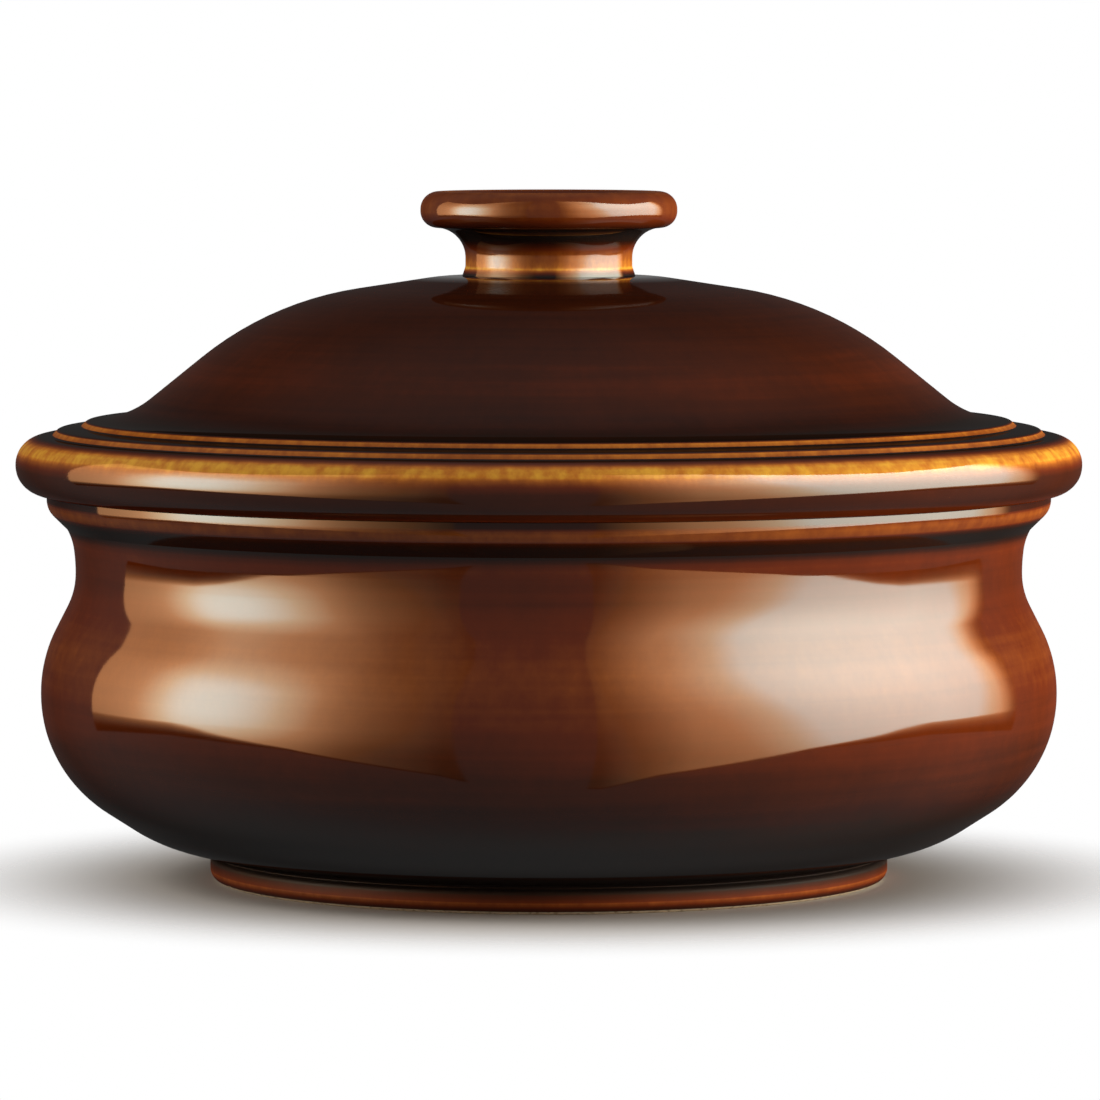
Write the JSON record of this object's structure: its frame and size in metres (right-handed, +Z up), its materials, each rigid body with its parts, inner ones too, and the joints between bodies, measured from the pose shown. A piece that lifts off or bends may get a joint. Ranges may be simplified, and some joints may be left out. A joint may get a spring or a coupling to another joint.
{
  "type": "lidded stew pot",
  "caption": "Round brown-glazed stoneware stew pot with a waisted body, foot ring and a domed lift-off lid with rolled rim and a mushroom knob.",
  "frame": {"origin": "centre of the foot ring's flat bottom, on the surface that the pot stands on", "axes": "+Z up along the axis that every piece is turned about, +X to the right and +Y away from the viewer"},
  "size_m": [0.1398, 0.1398, 0.0904],
  "materials": {
    "pot_glaze": "glossy treacle-brown glaze over buff stoneware, near black in the creases, bare stoneware under the foot",
    "lid_glaze": "glossy dark brown glaze that breaks to amber on the rolled rim and the steps",
    "knob_glaze": "glossy brown glaze, amber on the stem and the edges"
  },
  "bodies": {
    "pot_body": {"pot": "pot_glaze"},
    "lid_body": {"lid": "lid_glaze", "knob": "knob_glaze"}
  },
  "joints": [
    {"name": "lid_lift", "type": "slide", "parent": "pot_body", "child": "lid_body", "axis": [0, 0, 1], "range_m": [0, 0.09]}
  ]
}
